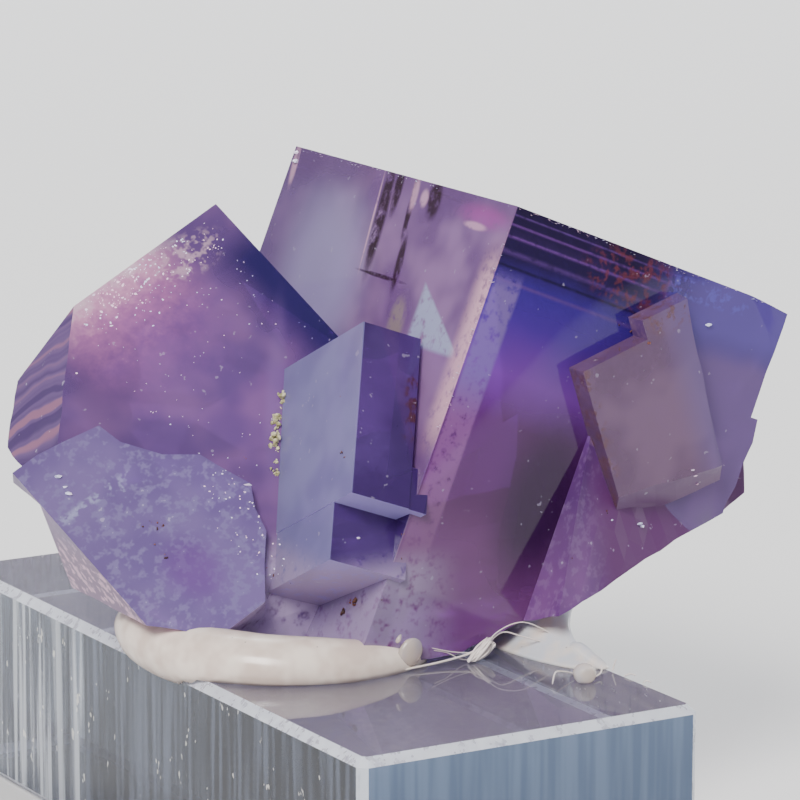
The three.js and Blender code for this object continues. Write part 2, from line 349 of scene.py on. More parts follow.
def big_cube_colour(look, cloud):
    """Banded along its top, blue-violet then magenta below, pale beside its front edge."""
    point = look.mapped(BIG_CUBE)
    x, y, z = look.parts(point)
    depth = look.sum_of("MULTIPLY", z, -1.0)
    bent = look.sum_of("ADD", depth, look.sum_of("MULTIPLY_ADD", cloud, 1.6, -0.8))

    # Seen from the front, its zones lie below one another
    _, zones = look.bands(bent, ZONES_LENGTH, *ZONES)
    lined, lines = look.bands(depth, LINES_LENGTH, *LINES)
    core = look.spots(point, 0.6, ((8.4, 0, -15.6), (2.6, THROUGH, 4.4)))
    flecks = look.times(look.spots(point, 0.3, *FLECKS), look.sparse)
    front = layered(
        look, zones,
        (look.times(look.rise(x, 10.5, 17.0), look.rise(bent, 2.2, 4.6)), seen(122, 92, 158)),
        (core, seen(60, 22, 74)),
        (look.times(look.rise(x, 9.0, 16.0), look.fall(bent, 2.4, 4.6)), seen(104, 84, 176)),
        (look.times(lined, look.ragged, look.fall(x, 10.0, 15.0)), lines),
        (look.times(flecks, 0.75), look.mix(look.rise(x, 11.5, 12.5), seen(124, 54, 66), seen(112, 100, 214))),
    )

    # Seen from the left it is pale lavender, with cracks that run down from the top
    sheared = look.add("ShaderNodeCombineXYZ")
    look.put(sheared.inputs[1], look.sum_of("MULTIPLY_ADD", depth, 0.14, y))
    look.put(sheared.inputs[2], depth)
    flat = sheared.outputs[0]
    pale = look.spots(flat, 0.6, ((0, 19.0, 7.6), (THROUGH, 4.2, 5.6)))
    cracks = look.spots(flat, 0.35, *CRACKS)
    glints = look.spots(flat, 0.4, *GLINTS)
    magenta = look.spots(flat, 0.7, ((0, 3.0, 1.1), (THROUGH, 2.2, 0.6)))
    crust = look.spots(flat, 0.4, *CRUST)
    slant = look.sum_of("MULTIPLY_ADD", y, 0.62, depth)
    triangle = look.times(look.rise(slant, 9.6, 9.9), look.fall(depth, 9.2, 9.6), look.between(y, 1.2, 6.4, 0.25))
    warm = look.times(look.fall(y, 0.4, 2.0), look.between(bent, 3.2, 14.0, 1.6))
    side = layered(
        look, look.mix(look.mild, seen(128, 92, 146), seen(168, 128, 180)),
        (look.times(look.rise(y, 15.5, 22.0), 0.6), seen(116, 94, 150)),
        (pale, seen(178, 164, 214)),
        (look.times(look.fall(bent, 0.6, 2.6), 0.6), seen(112, 76, 134)),
        (look.times(triangle, look.ragged), seen(188, 196, 232)),
        (look.times(cracks, look.ragged), seen(58, 30, 50)),
        (look.times(magenta, look.ragged, 0.7), seen(190, 88, 180)),
        (look.times(glints, look.ragged, 0.75), seen(246, 192, 224)),
        (look.times(crust, look.ragged, 0.75), seen(170, 154, 142)),
        (look.times(warm, look.ragged), seen(255, 200, 220)),
    )
    strip = look.times(look.between(x, 0.2, 2.1, 0.16), look.rise(depth, 3.4, 5.0), look.ragged)
    return layered(
        look, look.mix(look.rise(x, 0.03, 0.12), side, front),
        (strip, look.mix(look.rise(depth, 9.5, 13.0), seen(134, 108, 182), seen(146, 92, 150))),
    )


def plate_colour(look):
    """Grey-mauve, with a brown stain along its top and left."""
    u, _, w = look.parts(look.mapped(PLATE))
    edge = look.most(look.rise(w, -0.9, 0.3), look.fall(u, 0.0, 0.8))
    return layered(
        look, look.mix(look.mild, seen(118, 86, 122), seen(138, 106, 140)),
        (look.times(look.rise(u, 5.0, 7.6), 0.6), seen(126, 106, 172)),
        (look.times(edge, look.sparse, 0.75), seen(128, 86, 80)),
    )


def prism_colour(look, ledge):
    """Pale with painted light on its left face, violet with painted shade on its right one, with rust at its right
    edge and a pale painted highlight on its ledges.
    """
    u, _, w = look.parts(look.mapped(PRISM))
    rust = look.times(look.between(w, -6.4, -2.2, 0.5), look.rise(u, 2.9, 3.3), look.sparse)
    # Lit and shaded copies of one violet: painted light on the left face, painted shade on the right one
    lit = look.mix(look.mild, seen(140, 134, 190), seen(156, 152, 206))
    shaded = look.mix(look.mild, seen(66, 40, 106), seen(90, 62, 134))
    shaded = look.mix(rust, shaded, seen(84, 44, 60))
    # The ledges underneath get a pale painted highlight
    return look.mix(ledge, look.mix(look.rise(u, 0.04, 0.12), lit, shaded), seen(178, 164, 230))


FLUORITE_IOR = 1.434
FLUORITE_TINT = seen(192, 128, 224)
FLUORITE_DENSITY = 55.0

# Roughness: a polished face, what a fully matt face adds, and what wear adds
POLISHED, MATT_ADDS, WEAR_ADDS = 0.07, 0.4, 0.3


def fluorite_look():
    """One material for the whole cluster: the faces hold which crystal they belong to."""
    look = Look("fluorite")
    point = look.mapped()
    east, _, height = look.parts(point)
    names = ("left", "plate", "prism", "patch", "broken", "rim", "striped", "ledge", "matt", "clear")
    left, plate, prism, patch, broken, rim, striped, ledge, matt, clear = (look.held(name) for name in names)
    cloud = look.grain(point, 0.22, 2.0, 0.6)
    fine = look.grain(point, 1.5, 2.0, 0.7)

    # Masks that all the crystals share: soft clouds, ragged edges and sparse flecks
    look.mild = look.rise(cloud, 0.35, 0.64)
    look.ragged = look.rise(fine, 0.2, 0.52)
    look.sparse = look.rise(fine, 0.48, 0.62)

    cube = look.mapped(LEFT_CUBE)
    a, b, _ = look.parts(cube)
    colour = look.mix(left, big_cube_colour(look, cloud), left_cube_colour(look, a, b, cube, fine))
    colour = look.mix(plate, colour, plate_colour(look))
    colour = look.mix(prism, colour, prism_colour(look, ledge))

    # The cleavage face at the far left has fine lilac and rosy stripes
    across = look.sum_of("MULTIPLY_ADD", cloud, 3.0, look.sum_of("MULTIPLY_ADD", a, 1.4, b))
    stripes = look.stripes(across, 0.6)
    colour = look.mix(striped, colour, look.mix(
        look.times(look.rise(stripes, 0.5, 0.72), 0.6),
        look.mix(look.rise(stripes, 0.3, 0.6), seen(78, 56, 106), seen(108, 82, 132)), seen(168, 112, 132)))

    # Breaks are frosted; the foot is rosy at the left, with pale flecks as painted glitter, and pale in the middle,
    # where its frost is painted lighter to make up for the prism's shadow
    colour = look.mix(look.times(broken, 0.62), colour, look.mix(
        look.times(look.sparse, 0.5),
        look.mix(look.mild, seen(84, 52, 116), seen(118, 82, 138)), seen(148, 122, 168)))
    # Pale frost in the middle, painted lighter to make up for the prism's shadow
    low = look.fall(height, 18.0, 20.2)
    colour = look.mix(look.times(low, look.between(east, -8.0, 2.4, 2.4), look.ragged), colour,
                      seen(186, 166, 206))
    # Rosy at the lower left, with pale flecks as painted glitter
    glitter = look.mix(look.sparse, seen(120, 72, 126), seen(226, 176, 208))
    colour = look.mix(look.times(low, look.fall(east, -11.0, -8.5)), colour, glitter)
    colour = look.mix(look.times(broken, look.rise(east, 11.0, 14.0), look.fall(height, 21.0, 25.0)), colour,
                      seen(96, 52, 104))
    colour = look.mix(patch, colour, patch_colour(look, cube))

    # Edges with wear and a near-white painted highlight along them, and dust
    worn_and_highlit = look.times(rim, look.sparse)
    colour = look.mix(worn_and_highlit, colour, seen(232, 222, 242))
    dust = look.rise(fine, 0.69, 0.73)
    colour = look.mix(look.times(dust, 0.4), colour, seen(206, 196, 226))

    roughness = look.sum_of("MULTIPLY_ADD", worn_and_highlit, WEAR_ADDS, look.sum_of("MULTIPLY_ADD", matt, MATT_ADDS, POLISHED))
    look.absorb(FLUORITE_TINT, FLUORITE_DENSITY)
    return look.finish(Base_Color=colour, Roughness=roughness, IOR=FLUORITE_IOR,
                       Transmission_Weight=look.times(clear, look.sum_of("SUBTRACT", 1.0, worn_and_highlit)))


# What counts as one point, as no edge at all, and as one flat face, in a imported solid
SAME_POINT, NO_EDGE, FLAT_ANGLE = 0.002, 0.004, 0.4


def cleaned_copy(node, name):
    """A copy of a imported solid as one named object, with its flat faces whole again."""
    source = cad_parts[node]
    mesh = bpy.data.meshes.new(name)
    shape = bmesh.new()
    shape.from_mesh(source.data)
    bmesh.ops.remove_doubles(shape, verts=shape.verts, dist=SAME_POINT * MM)
    bmesh.ops.dissolve_degenerate(shape, edges=shape.edges, dist=NO_EDGE * MM)
    bmesh.ops.dissolve_limit(shape, angle_limit=math.radians(FLAT_ANGLE), verts=shape.verts, edges=shape.edges)
    shape.to_mesh(mesh)
    shape.free()
    piece = bpy.data.objects.new(name, mesh)
    bpy.context.scene.collection.objects.link(piece)
    return piece


# How far a face may be from a crystal's own side, and how nearly it must face the same way as a side,
# the cleavage, or the prism's underside
SIDE_REACH, SIDE_FACING, CLEAVAGE_FACING, LEDGE_FACING = 0.09, 0.996, 0.985, 0.9

# Where each crystal's own sides are, along its three axes
BIG_SIDES = ((0,), (0, 25.6), (0,))
PLATE_SIDES = ((0,), (0,), (-0.35, 0.85))
LEFT_SIDES = ((0,), (0,), (0,))
PATCH_SIDES = ((), (), (-PATCH_PROUD,))

# The room that each smaller crystal fills, from its lowest to its highest corner along its axes
PLATE_ROOM = ((-0.2, -0.2, -11.2), (8.4, 2.2, 1.1))
PRISM_ROOM = ((-0.3, -0.3, -14.4), (5.3, 9.0, 0.3))
LEFT_ROOM = ((-0.3, -0.3, -1.0), (26.2, 21.0, 15.2))


def lies_on(inverse, turned, point, normal, sides):
    """Whether a face lies on one of a crystal's own sides."""
    place = inverse @ point
    facing = turned @ normal
    for axis, levels in enumerate(sides):
        if abs(facing[axis]) > SIDE_FACING and any(abs(place[axis] - level) < SIDE_REACH for level in levels):
            return True
    return False


def inside(inverse, point, room):
    """Whether a point lies in a crystal's room."""
    place = inverse @ point
    low, high = room
    return all(low[axis] < place[axis] < high[axis] for axis in range(3))


def mark_crystals(shape):
    """Gives every face the crystal it belongs to, and whether it is grown, cleaved or broken."""
    names = ("left", "plate", "prism", "patch", "broken", "striped", "ledge")
    layer = {name: shape.faces.layers.float.new(name) for name in names}
    frames = {"left": LEFT_CUBE, "big": BIG_CUBE, "plate": PLATE, "prism": PRISM}
    inverse = {name: matrix_of(one).inverted() for name, one in frames.items()}
    turned = {name: one.to_3x3() for name, one in inverse.items()}
    cleavage = Vector((-1, 1, -1)).normalized()
    for face in shape.faces:
        point = face.calc_center_median() / MM
        normal = face.normal

        def on(name, sides):
            return lies_on(inverse[name], turned[name], point, normal, sides)

        kind = "big"
        whole = on("big", BIG_SIDES)
        if on("plate", PLATE_SIDES):
            kind, whole = "plate", True
        elif inside(inverse["plate"], point, PLATE_ROOM) and not whole:
            kind = "plate"
        elif inside(inverse["prism"], point, PRISM_ROOM):
            kind, whole = "prism", True
        elif on("left", PATCH_SIDES):
            kind, whole = "patch", True
        elif not whole and inside(inverse["left"], point, LEFT_ROOM):
            kind = "left"
            whole = on("left", LEFT_SIDES)
        facing = turned["left"] @ normal
        if kind in ("left", "patch") and facing.dot(cleavage) > CLEAVAGE_FACING:
            face[layer["striped"]] = 1.0
            kind, whole = "left", True
        if kind != "big":
            face[layer[kind]] = 1.0
        if kind == "prism" and (turned["prism"] @ normal).z < -LEDGE_FACING:
            face[layer["ledge"]] = 1.0
        face[layer["broken"]] = 0.0 if whole else 1.0


# The edges that get a worn strip: how long they are at least, and how sharp in degrees
WORN_LENGTH, WORN_ANGLE = 1.2, 28

# How strong the strip of wear and painted highlight is on a break, on the patch, and on a grown face
BREAK_RIM, PATCH_RIM, GROWN_RIM = 0.6, 0.4, 1.0

# How matt each kind of face is, and how much less clear than a grown face
GROWN_MATT, GROWN_CLEAR = 0.02, 0.52
MATT = {"broken": 0.6, "striped": 0.3, "patch": 0.14}
LESS_CLEAR = {"broken": 0.3, "striped": 0.3, "patch": 0.16, "ledge": 0.4}


def crystals_piece(settings):
    """The crystals, with every face marked and a worn strip along the sharp edges."""
    piece = cleaned_copy("fluorite_cluster", "fluorite_crystals")
    shape = bmesh.new()
    shape.from_mesh(piece.data)
    mark_crystals(shape)
    layers = shape.faces.layers.float
    for name in ("rim", "matt", "clear"):
        layers.new(name)
    worn_and_highlit = []
    for edge in shape.edges:
        if len(edge.link_faces) != 2 or edge.calc_length() < WORN_LENGTH * MM:
            continue
        if edge.calc_face_angle(0.0) > math.radians(WORN_ANGLE) and edge.is_convex:
            worn_and_highlit.append(edge)
    made = bmesh.ops.bevel(shape, geom=worn_and_highlit, offset=settings.edge_wear, offset_type="OFFSET", segments=1, profile=0.5,
                           affect="EDGES", clamp_overlap=True, material=-1)
    rim, matt, clear = (layers[name] for name in ("rim", "matt", "clear"))
    patch, broken = layers["patch"], layers["broken"]
    for face in made["faces"]:
        face[rim] = PATCH_RIM if face[patch] > 0.5 else BREAK_RIM if face[broken] > 0.5 else GROWN_RIM
    for face in shape.faces:
        face[matt] = max(GROWN_MATT, *(share * face[layers[kind]] for kind, share in MATT.items()))
        face[clear] = GROWN_CLEAR - max(share * face[layers[kind]] for kind, share in LESS_CLEAR.items())
    bmesh.ops.triangulate(shape, faces=[face for face in shape.faces if len(face.verts) > 4])
    shape.to_mesh(piece.data)
    shape.free()
    piece.data.materials.append(fluorite_look())
    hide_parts("fluorite_cluster")
    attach(piece, "root")
    return piece


# Acrylic

ACRYLIC_IOR = 1.49
ACRYLIC_TINT = seen(196, 214, 236)
ACRYLIC_DENSITY = 14.0


def acrylic_look():
    """Clear on top; streaked and scratched where it was sawn, with painted light toward the back of the sawn sides
    and painted shade in front, and clouded along its chamfers.
    """
    look = Look("acrylic")
    point = look.mapped()
    _, y, _ = look.parts(point)
    sawn, rim = look.held("sawn"), look.held("rim")
    streaks = look.grain(look.mapped(stretch=(0.6, 0.6, 14.0)), 1.0, 1.0, 0.7)
    fine = look.grain(look.mapped(stretch=(0.7, 0.7, 1.6)), 1.0, 2.0, 0.75)
    end = look.fall(y, -25.3, -25.0)
    # Lit and unlit copies of the same streaks: painted light toward the back and along a narrow band, painted shade
    # elsewhere
    bright = look.most(look.rise(y, 8.4, 12.0), look.between(y, 7.9, 9.3, 0.25))
    lit = look.mix(look.rise(streaks, 0.36, 0.64), seen(120, 128, 142), seen(214, 220, 228))
    unlit = look.mix(look.rise(streaks, 0.40, 0.70), seen(40, 44, 54), seen(96, 104, 122))
    blue = look.mix(look.rise(streaks, 0.30, 0.70), seen(88, 108, 138), seen(110, 130, 160))
    scratches = look.times(sawn, look.rise(fine, 0.66, 0.71), look.sum_of("SUBTRACT", 1.0, end))
    rubbed = look.times(rim, look.rise(fine, 0.0, 0.6))
    top = look.mix(look.rise(fine, 0.5, 0.7), seen(222, 214, 232), seen(240, 234, 240))
    colour = layered(
        look, top,
        (sawn, look.mix(end, look.mix(bright, unlit, lit), blue)),
        (look.times(scratches, 0.8), seen(214, 212, 206)),
        (look.times(rubbed, 0.9), seen(222, 228, 238)),
    )
    cloudy = look.most(look.times(look.rise(streaks, 0.4, 0.62), sawn, 0.5), look.times(sawn, end, 0.6), scratches,
                       look.times(rubbed, 0.8))
    look.absorb(ACRYLIC_TINT, ACRYLIC_DENSITY)
    return look.finish(Base_Color=colour, Roughness=look.sum_of("MULTIPLY_ADD", cloudy, 0.4, 0.03), IOR=ACRYLIC_IOR,
                       Transmission_Weight=look.sum_of("MULTIPLY_ADD", cloudy, -0.8, 0.9))


# How little an upright face leans, and how closely a square one faces an axis
UPRIGHT, SQUARE_ON = 0.1, 0.99


def block_piece():
    """The clear block, with its sawn sides and its chamfers marked."""
    piece = cleaned_copy("acrylic_block", "acrylic_display_block")
    shape = bmesh.new()
    shape.from_mesh(piece.data)
    sawn = shape.faces.layers.float.new("sawn")
    rim = shape.faces.layers.float.new("rim")
    for face in shape.faces:
        facing = [abs(part) for part in face.normal]
        face[sawn] = 1.0 if facing[2] < UPRIGHT else 0.0
        face[rim] = 0.0 if max(facing) > SQUARE_ON else 1.0
    shape.to_mesh(piece.data)
    shape.free()
    piece.data.materials.append(acrylic_look())
    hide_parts("acrylic_block")
    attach(piece, "root")
    return piece


# Glue

GLUE_IOR = 1.48


def glue_look(name, tone, clear):
    """Hot-melt glue with faint clouds and a few small bubbles."""
    look = Look(name)
    point = look.mapped()
    cloud = look.grain(point, 0.5, 2.0, 0.6)
    colour = look.mix(look.rise(cloud, 0.35, 0.68), tone, seen(246, 232, 220))
    bubbles = look.fall(look.cells(point, 0.9), 0.03, 0.06)
    colour = look.mix(look.times(bubbles, 0.6), colour, seen(120, 104, 100))
    roughness = look.sum_of("MULTIPLY_ADD", cloud, 0.14, 0.14)
    return look.finish(Base_Color=colour, Roughness=roughness, IOR=GLUE_IOR, Transmission_Weight=clear,
                       Normal=look.bump(cloud, 0.15, 0.12))


def between_stations(stations, share):
    """Smooth values a share of the way along a list of stations."""
    spans = len(stations) - 1
    index = min(spans - 1, int(share * spans))
    local = share * spans - index
    rows = [stations[max(0, min(spans, index + step))] for step in (-1, 0, 1, 2)]
    made = []
    for before, start, end, after in zip(*rows):
        slope, out = (end - before) / 2, (after - start) / 2
        made.append(start + local * (slope + local * (3 * (end - start) - 2 * slope - out
                                                      + local * (2 * (start - end) + slope + out))))
    return made


# How far along a soft body's line its direction is measured, and how close its waves are
LINE_STEP, WAVES = 0.01, 0.55


def drawn_out(shape, stations, rings, sides, wobble=0.0, seed=0.0, floor=None):
    """A closed soft body along stations of x, y, z, half width and half height."""
    loops = []
    for ring in range(rings + 1):
        share = ring / rings
        x, y, z, wide, high = between_stations(stations, share)
        ahead = Vector(between_stations(stations, min(1.0, share + LINE_STEP))[:3])
        behind = Vector(between_stations(stations, max(0.0, share - LINE_STEP))[:3])
        along = (ahead - behind).normalized()
        side = along.cross(Vector((0, 0, 1))).normalized()
        up = side.cross(along)
        swell = max(0.0, 1 - abs(2 * share - 1) ** 6) ** 0.5
        loop = []
        for turn in range(sides):
            angle = 2 * math.pi * turn / sides
            offset = side * (math.cos(angle) * wide * swell) + up * (math.sin(angle) * high * swell)
            place = Vector((x, y, z)) + offset
            if wobble and 0 < ring < rings:
                place += offset.normalized() * wobble * noise.noise(place * WAVES + Vector((seed, 0, 0)))
            if floor is not None and -BLOCK_HALF_WIDTH < place.x < BLOCK_HALF_WIDTH:
                place.z = max(place.z, floor)
            loop.append(place * MM)
        loops.append(loop)
    first = shape.verts.new(sum(loops[0], Vector()) / sides)
    last = shape.verts.new(sum(loops[-1], Vector()) / sides)
    rows = [[shape.verts.new(place) for place in loop] for loop in loops[1:-1]]
    for turn in range(sides):
        after = (turn + 1) % sides
        shape.faces.new((first, rows[0][after], rows[0][turn]))
        shape.faces.new((last, rows[-1][turn], rows[-1][after]))
        for near, far in zip(rows, rows[1:]):
            shape.faces.new((near[turn], near[after], far[after], far[turn]))


def new_piece(name, shape, material, smooth=True):
    """Makes the shape a named piece that rides on the part's one body."""
    bmesh.ops.recalc_face_normals(shape, faces=shape.faces)
    for face in shape.faces:
        face.smooth = smooth
    mesh = bpy.data.meshes.new(name)
    shape.to_mesh(mesh)
    shape.free()
    piece = bpy.data.objects.new(name, mesh)
    bpy.context.scene.collection.objects.link(piece)
    mesh.materials.append(material)
    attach(piece, "root")
    return piece


# The bead, as stations of x, y, z, half width and half height
BEAD = (
    (-10.4, 3.6, 14.0, 1.1, 1.2), (-10.6, 1.2, 13.9, 1.6, 1.7), (-10.6, -1.6, 13.7, 1.8, 1.8),
    (-9.7, -5.0, 13.5, 2.0, 1.9), (-7.3, -8.0, 13.3, 2.1, 1.9), (-4.0, -9.6, 13.1, 2.0, 1.8),
    (-0.8, -9.9, 13.0, 1.6, 1.4), (1.4, -9.6, 13.0, 1.1, 0.9), (2.8, -9.0, 13.1, 0.6, 0.6),
)


def bead_piece():
    """The thick bead of glue from the block's left edge round under the cluster's front."""
    shape = bmesh.new()
    drawn_out(shape, BEAD, 80, 32, 0.03, 3.0, BLOCK_TOP + GLUE_LIFT)
    piece = new_piece("glue_front_bead", shape, glue_look("glue", seen(222, 202, 190), 0.12))
    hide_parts("glue_bead")
    return piece


# The foot's toe, in the same way
TOE = (
    (10.2, -12.4, 12.95, 0.6, 0.5), (10.3, -13.8, 12.95, 0.65, 0.75), (10.4, -15.2, 12.85, 0.5, 0.5),
    (10.5, -16.6, 12.75, 0.4, 0.2),
)


def foot_piece():
    """The concave foot of glue at the block's right edge, with its toe."""
    shape = bmesh.new()
    rings, sides = 22, 48
    rise, neck, flare, sharpness = 2.9, 2.7, 3.7, 2.6
    inwards, lengthwise = 0.4, 1.2
    overhang, lip = 1.4, 0.4
    loops = []
    for ring in range(rings + 1):
        down = ring / rings
        reach = neck + flare * down ** sharpness
        middle = Vector((10.8 - 0.7 * down, -8.6, BLOCK_TOP + GLUE_LIFT + rise * (1 - down)))
        loop = []
        for turn in range(sides):
            angle = 2 * math.pi * turn / sides
            wide = inwards * reach if math.cos(angle) < 0 else overhang * (1 - down) ** 1.5 + lip
            across, along = math.cos(angle) * wide, math.sin(angle) * reach * lengthwise
            ripple = 0.1 * noise.noise(Vector((across, along, down)) * 0.7)
            loop.append((middle + Vector((across, along + ripple, 0))) * MM)
        loops.append([shape.verts.new(place) for place in loop])
    for near, far in zip(loops, loops[1:]):
        for turn in range(sides):
            after = (turn + 1) % sides
            shape.faces.new((near[turn], far[turn], far[after], near[after]))
    shape.faces.new(loops[0])
    shape.faces.new(list(reversed(loops[-1])))
    drawn_out(shape, TOE, 24, 16, 0.05, 8.0, BLOCK_TOP + GLUE_LIFT)
    piece = new_piece("glue_rear_foot", shape, glue_look("glue_cool", seen(216, 220, 228), 0.2))
    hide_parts("glue_fillet")
    return piece


# The drop, in the same way
DROP = ((7.9, -18.7, 13.15, 0.5, 0.5), (7.95, -18.2, 13.2, 0.66, 0.6), (8.0, -17.6, 13.15, 0.5, 0.5))


def drop_piece():
    """The small round drop near the foot's toe."""
    shape = bmesh.new()
    drawn_out(shape, DROP, 24, 20, 0.05, 5.0, BLOCK_TOP + GLUE_LIFT)
    piece = new_piece("glue_round_drop", shape, glue_look("glue_clear", seen(206, 206, 214), 0.35))
    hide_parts("glue_drop")
    return piece


def strand(shape, points, thick):
    """A fine closed strand through the points, thinner at both ends."""
    rings = 10 * (len(points) - 1)
    stations = [(*point, thick, thick) for point in points]
    drawn_out(shape, stations, rings, 6)


# The single strings, each as its half thickness and the points it runs through
STRANDS = (
    (0.07, ((-0.2, -11.2, 12.85), (1.2, -11.2, 12.92), (2.6, -11.2, 13.0), (4.3, -11.2, 13.2), (5.2, -11.2, 13.5))),
    (0.045, ((4.5, -11.4, 12.95), (5.1, -11.4, 13.4), (5.8, -11.4, 13.86), (6.7, -11.4, 14.28), (7.9, -11.6, 13.9),
             (9.4, -12.0, 13.4), (10.4, -12.6, 13.3))),
    (0.035, ((4.9, -11.5, 13.0), (6.1, -11.5, 14.3), (7.8, -11.5, 14.75), (9.2, -11.7, 14.2), (10.0, -12.2, 13.5))),
    (0.04, ((2.2, -11.0, 13.7), (3.1, -11.0, 13.45), (4.0, -11.0, 12.95), (4.7, -11.0, 12.8))),
    (0.03, ((2.0, -11.1, 13.9), (3.3, -11.1, 13.5), (4.6, -11.2, 13.3), (5.4, -11.3, 13.6))),
    (0.05, ((5.9, -18.0, 12.8), (6.4, -17.5, 13.3), (7.1, -17.1, 13.2), (8.1, -16.9, 12.9))),
    (0.05, ((8.4, -18.2, 12.95), (8.9, -18.0, 12.9), (9.4, -17.7, 13.0), (9.7, -17.3, 13.3))),
    (0.05, ((10.5, -17.2, 12.75), (10.6, -17.2, 13.1), (10.7, -17.3, 13.5))),
    (0.05, ((10.5, -18.4, 12.75), (10.8, -18.6, 12.9), (11.0, -18.9, 12.85))),
    (0.045, ((10.6, -20.2, 12.75), (10.8, -20.3, 12.9), (11.0, -20.5, 12.8))),
)


# The bundle of strings: its two ends and how many it holds
BUNDLE_START, BUNDLE_END, BUNDLE_COUNT = Vector((4.5, -11.35, 12.8)), Vector((5.9, -11.3, 13.75)), 26


def strings_piece():
    """The hair-thin strings that the hot glue left, and their white bundle."""
    shape = bmesh.new()
    for thick, points in STRANDS:
        strand(shape, points, thick)
    chance = random.Random(11)
    for _ in range(BUNDLE_COUNT):
        start = BUNDLE_START + Vector((chance.uniform(-0.3, 0.3), chance.uniform(-0.2, 0.2), 0))
        end = BUNDLE_END + Vector([chance.uniform(-0.3, 0.3) for _ in range(3)])
        middle = (start + end) / 2 + Vector([chance.uniform(-0.2, 0.2) for _ in range(3)])
        strand(shape, (tuple(start), tuple(middle), tuple(end)), chance.uniform(0.03, 0.09))
    return new_piece("glue_strings", shape, glue_look("glue_strand", seen(236, 226, 224), 0.1))


# The tab and the blob, in the same way
TAB = (
    (0.1, -11.0, 13.2, 0.25, 0.5), (0.5, -11.0, 13.6, 0.3, 0.75), (0.9, -11.0, 14.1, 0.3, 0.7),
    (1.2, -11.0, 14.5, 0.15, 0.3),
)
BLOB = ((-0.35, -11.15, 14.5, 0.1, 0.1), (-0.2, -11.15, 14.75, 0.14, 0.14), (-0.05, -11.15, 15.0, 0.05, 0.05))


def tab_piece():
    """The clear tab of glue at the bead's end, and the small blob beside it."""
    shape = bmesh.new()
    drawn_out(shape, TAB, 20, 14, 0.06, 2.0)
    drawn_out(shape, BLOB, 8, 8)
    return new_piece("glue_tab", shape, glue_look("glue_tab", seen(214, 210, 222), 0.6))


def scatter(shape, place, reach, chance, flat=1.0):
    """A small rough grain."""
    made = bmesh.ops.create_icosphere(shape, subdivisions=1, radius=reach * MM)
    turn = Euler([chance.uniform(0, math.tau) for _ in range(3)]).to_matrix()
    squash = Vector((chance.uniform(0.7, 1.3), chance.uniform(0.6, 1.0), flat))
    for vert in made["verts"]:
        vert.co = turn @ Vector([vert.co[axis] * squash[axis] * chance.uniform(0.75, 1.2) for axis in range(3)])
        vert.co += Vector(place) * MM


# The grains' heaps, each as x, y, z and its half breadth
GRAINS = (
    (-0.94, 1.06, 26.84, 0.34), (-1.02, 0.95, 26.5, 0.30), (-1.17, 0.92, 26.15, 0.26), (-1.64, 0.6, 25.79, 0.30),
    (-1.85, 0.5, 25.55, 0.34), (-1.88, 0.14, 25.1, 0.2), (-2.14, -0.09, 24.75, 0.32), (-2.34, -0.19, 24.4, 0.36),
    (-2.3, -0.4, 24.05, 0.22), (-2.57, -0.91, 23.45, 0.14), (-2.7, -1.19, 23.04, 0.2), (-2.75, -1.3, 22.8, 0.16),
)
GRAINS_IN_HEAP = 7


def grains_piece():
    """The yellow-green grains in the groove beside the middle prism."""
    shape = bmesh.new()
    chance = random.Random(5)
    for x, y, z, reach in GRAINS:
        for _ in range(GRAINS_IN_HEAP):
            place = Vector((x, y, z)) + Vector([chance.gauss(0, reach * 0.45) for _ in range(3)])
            scatter(shape, place, reach * chance.uniform(0.35, 0.7), chance)
    look = Look("yellow_green_grains")
    point = look.mapped()
    tone = look.mix(look.rise(look.grain(point, 3.0, 3.0), 0.35, 0.65), seen(134, 128, 84), seen(208, 202, 168))
    material = look.finish(Base_Color=tone, Roughness=0.6, Normal=look.bump(look.grain(point, 7.0), 0.6, 0.06))
    return new_piece("yellow_green_grains", shape, material, smooth=False)


# The brown specks and, near the lower middle, the rust spot, each as x, y, z and its half breadth
BROWN_SPECKS = (
    (-10.59, -0.34, 20.7, 0.07), (-10.36, -0.74, 20.36, 0.12), (-10.03, -0.82, 20.47, 0.11),
    (-11.03, -0.34, 20.42, 0.08), (-10.75, -1.26, 19.52, 0.07), (-10.44, -1.99, 18.85, 0.11),
    (-10.47, -1.84, 19.01, 0.08), (-11.21, -0.15, 20.54, 0.06), (-11.42, 0.31, 20.95, 0.05),
    (-10.22, -0.63, 20.58, 0.08), (-4.86, -4.54, 17.7, 0.08), (-4.67, -6.38, 17.57, 0.06),
    (-5.02, -4.23, 18.05, 0.06), (0.42, -10.62, 20.74, 0.1), (0.09, -10.62, 20.05, 0.06),
    (0.32, -10.61, 19.33, 0.07), (-1.01, -10.61, 17.04, 0.06), (13.7, -11.55, 20.72, 0.1),
    (10.53, -12.74, 18.51, 0.07), (-4.07, 0.07, 23.68, 0.06), (16.27, -12.05, 30.56, 0.14),
    (14.48, -11.6, 30.27, 0.08), (-2.31, -8.31, 25.36, 0.09), (-1.09, -5.99, 28.12, 0.06),
    (-2.41, -8.75, 25.18, 0.08), (-1.5, -8.46, 16.42, 0.22), (-1.2, -8.7, 16.2, 0.2), (-1.76, -7.6, 15.75, 0.18),
    (-1.45, -7.9, 16.45, 0.16), (-0.9, -9.0, 16.2, 0.14), (15.85, -10.6, 31.05, 0.1), (15.0, -10.6, 31.53, 0.08),
)


